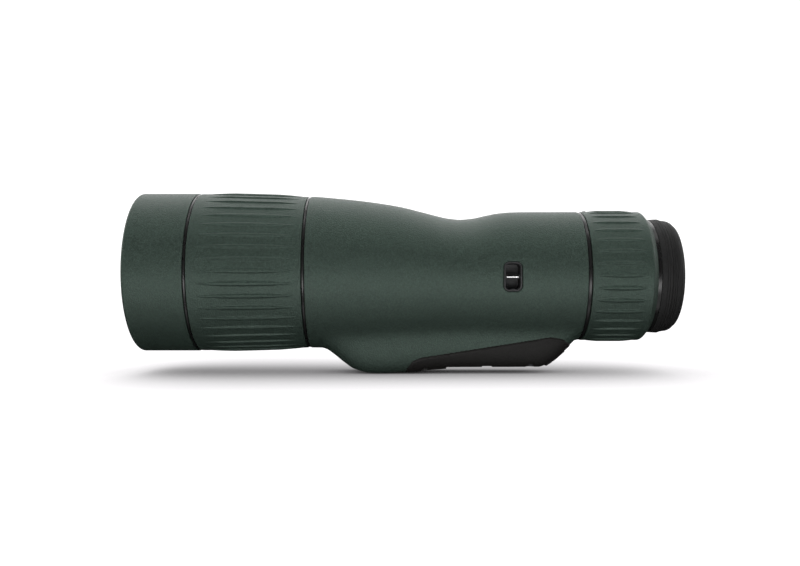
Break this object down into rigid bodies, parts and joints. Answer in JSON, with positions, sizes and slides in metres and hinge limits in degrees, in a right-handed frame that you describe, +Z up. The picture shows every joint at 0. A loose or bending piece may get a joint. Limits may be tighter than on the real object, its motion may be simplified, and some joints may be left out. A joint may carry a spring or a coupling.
{
  "type": "spotting scope",
  "caption": "Straight zoom spotting scope in rubber armour with a ribbed focus ring, a zoom eyepiece with twist-up eyecup and a foot for a tripod.",
  "frame": {"origin": "mouth of the tripod thread in the flat underside of the foot", "axes": "+X from the objective to the eyepiece along the optical axis, +Z up, +Y completes the right-handed set"},
  "size_m": [0.3017, 0.09, 0.1022],
  "materials": {
    "armour_green": "matte, finely grained",
    "rubber_black": "matte",
    "trim_gloss": "gloss black anodised",
    "black_anodised": "matte black anodised",
    "housing_black": "matte glass-filled",
    "foot_black": "matte powder coated",
    "steel_bright": "polished",
    "screw_black": "black oxide",
    "brass_bush": "machined",
    "optical_glass": "coated",
    "seal_black": "smooth"
  },
  "bodies": {
    "scope": {"hood_armour": "armour_green", "hood_tube": "black_anodised", "front_baffle": "housing_black", "front_trim_ring": "trim_gloss", "focus_trim_ring": "trim_gloss", "objective_barrel": "black_anodised", "objective_cell": "black_anodised", "objective_o_ring": "seal_black", "objective_crown": "optical_glass", "objective_flint": "optical_glass", "objective_retainer": "black_anodised", "body_casing": "housing_black", "body_armour": "armour_green", "foot_screw_1": "screw_black", "foot_screw_2": "screw_black", "foot_screw_3": "screw_black", "foot_screw_4": "screw_black", "foot_shoe": "foot_black", "tripod_bush": "brass_bush", "rear_stop": "foot_black", "strap_pin_right": "steel_bright", "strap_frame_right": "housing_black", "strap_pin_left": "steel_bright", "strap_frame_left": "housing_black", "half_penta_prism": "optical_glass", "roof_prism": "optical_glass", "cradle_screw_1": "screw_black", "cradle_screw_2": "screw_black", "prism_cradle": "housing_black", "cradle_bridge": "housing_black", "eyepiece_tube": "black_anodised", "field_stop_ring": "housing_black", "zoom_trim_ring": "trim_gloss", "eye_lens": "optical_glass", "eye_lens_retainer": "black_anodised", "eyecup_collar": "trim_gloss"},
    "focus_ring": {"focus_ring_core": "housing_black", "focus_ring_armour": "armour_green"},
    "focusing_cell": {"focus_cell": "black_anodised", "focus_pin": "steel_bright", "focus_lens": "optical_glass", "focus_lens_retainer": "black_anodised"},
    "zoom_ring": {"zoom_ring_core": "housing_black", "zoom_ring_armour": "armour_green", "zoom_index_pip": "rubber_black", "zoom_cam_sleeve": "black_anodised"},
    "front_zoom_cell": {"zoom_front_cell": "black_anodised", "zoom_front_pin": "steel_bright", "zoom_front_lens": "optical_glass"},
    "rear_zoom_cell": {"zoom_rear_cell": "black_anodised", "zoom_rear_pin": "steel_bright", "zoom_rear_lens": "optical_glass"},
    "click_ring": {"eyecup_click_ring": "housing_black"},
    "eyecup": {"eyecup_sleeve": "rubber_black", "eyecup_rubber": "rubber_black", "eyecup_guide_pin": "steel_bright"}
  },
  "joints": [
    {"name": "focus_turn", "type": "hinge", "parent": "scope", "child": "focus_ring", "pos_m": [-0.118, 0, 0.0534], "axis": [1, 0, 0], "range_deg": [-225, 225]},
    {"name": "focus_slide", "type": "slide", "parent": "scope", "child": "focusing_cell", "axis": [1, 0, 0], "range_m": [-0.00601, 0.00601]},
    {"name": "zoom_turn", "type": "hinge", "parent": "scope", "child": "zoom_ring", "pos_m": [0.086, 0, 0.0512], "axis": [1, 0, 0], "range_deg": [0, 130]},
    {"name": "zoom_front_slide", "type": "slide", "parent": "scope", "child": "front_zoom_cell", "axis": [1, 0, 0], "range_m": [0, 0.00601]},
    {"name": "zoom_rear_slide", "type": "slide", "parent": "scope", "child": "rear_zoom_cell", "axis": [1, 0, 0], "range_m": [-0.00501, 0]},
    {"name": "eyecup_extend", "type": "slide", "parent": "scope", "child": "click_ring", "axis": [1, 0, 0], "range_m": [0, 0.00601]},
    {"name": "eyecup_twist", "type": "hinge", "parent": "click_ring", "child": "eyecup", "pos_m": [0.1085, 0, 0.0512], "axis": [1, 0, 0], "range_deg": [0, 90]}
  ],
  "couplings": [
    {"joint": "focus_slide", "follows": "focus_turn", "m_per_rad": -0.0015279},
    {"joint": "zoom_front_slide", "follows": "zoom_turn", "m_per_rad": 0.0026444},
    {"joint": "zoom_rear_slide", "follows": "zoom_turn", "m_per_rad": -0.0022037},
    {"joint": "eyecup_extend", "follows": "eyecup_twist", "m_per_rad": 0.0038197}
  ]
}
